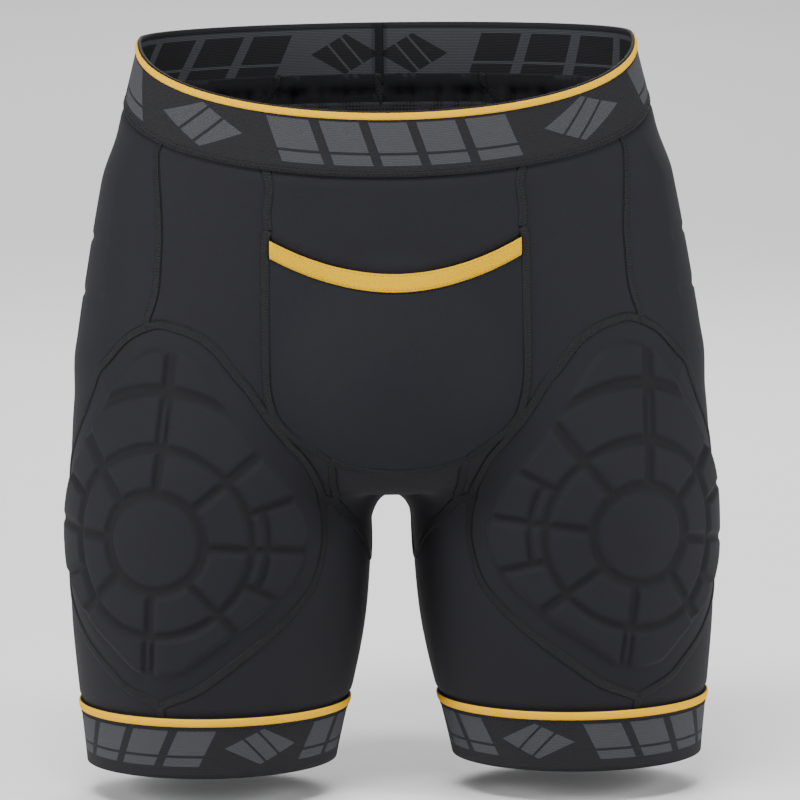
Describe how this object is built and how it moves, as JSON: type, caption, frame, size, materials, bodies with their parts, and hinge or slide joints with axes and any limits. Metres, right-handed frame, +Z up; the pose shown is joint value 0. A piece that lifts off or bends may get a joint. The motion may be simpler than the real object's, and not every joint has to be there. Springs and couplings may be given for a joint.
{
  "type": "padded impact shorts",
  "caption": "Stretch shorts with foam impact pads in pockets over the thighs, hips and tailbone, shown in their worn shape.",
  "frame": {"origin": "middle of the waist opening, level with its back edge", "axes": "+Z up towards the waist, +X to the wearer's left, -Y to the front"},
  "size_m": [0.3946, 0.254, 0.4364],
  "materials": {
    "stretch_fabric": "smooth knitted stretch fabric with a faint sheen",
    "woven_elastic": "soft woven elastic with a two-tone pattern",
    "yellow_yarn": "dyed yarn, matt",
    "pocket_mesh": "fine open mesh, matt",
    "pad_foam": "moulded closed-cell foam, matt"
  },
  "bodies": {
    "hips": {"waistband_elastic": "woven_elastic", "waistband_edge_stripe": "yellow_yarn", "waistband_back_join": "woven_elastic", "fly_panel": "stretch_fabric", "fly_pouch": "stretch_fabric", "fly_binding": "yellow_yarn", "crotch_gusset": "stretch_fabric", "front_panel_left": "stretch_fabric", "front_panel_right": "stretch_fabric", "hip_panel_left": "stretch_fabric", "hip_panel_right": "stretch_fabric", "seat_panel_left": "stretch_fabric", "seat_panel_right": "stretch_fabric", "hip_pad_left": "pad_foam", "hip_pad_right": "pad_foam", "hip_pad_lining_left": "pocket_mesh", "hip_pad_lining_right": "pocket_mesh", "tailbone_pad": "pad_foam", "tailbone_lining": "pocket_mesh"},
    "left_leg": {"thigh_cover_left": "stretch_fabric", "thigh_pad_left": "pad_foam", "thigh_pad_disc_left": "pad_foam", "thigh_pad_lining_left": "pocket_mesh", "inner_leg_panel_left": "stretch_fabric", "back_leg_panel_left": "stretch_fabric", "hem_elastic_left": "woven_elastic", "hem_edge_stripe_left": "yellow_yarn", "hem_join_left": "woven_elastic"},
    "right_leg": {"thigh_cover_right": "stretch_fabric", "thigh_pad_right": "pad_foam", "thigh_pad_disc_right": "pad_foam", "thigh_pad_lining_right": "pocket_mesh", "inner_leg_panel_right": "stretch_fabric", "back_leg_panel_right": "stretch_fabric", "hem_elastic_right": "woven_elastic", "hem_edge_stripe_right": "yellow_yarn", "hem_join_right": "woven_elastic"}
  },
  "joints": [
    {"name": "hip_left", "type": "hinge", "parent": "hips", "child": "left_leg", "pos_m": [0.099, -0.015, -0.185], "axis": [-1, 0, 0], "range_deg": [-10, 30], "stiffness_Nm_per_rad": 0.6, "deforming": ["front_panel_left", "hip_panel_left", "seat_panel_left", "crotch_gusset", "fly_pouch"]},
    {"name": "hip_right", "type": "hinge", "parent": "hips", "child": "right_leg", "pos_m": [-0.099, -0.015, -0.185], "axis": [-1, 0, 0], "range_deg": [-10, 30], "stiffness_Nm_per_rad": 0.6, "deforming": ["front_panel_right", "hip_panel_right", "seat_panel_right", "crotch_gusset", "fly_pouch"]}
  ],
  "couplings": [
    {"joint": "hip_right", "follows": "hip_left", "ratio": 1}
  ]
}
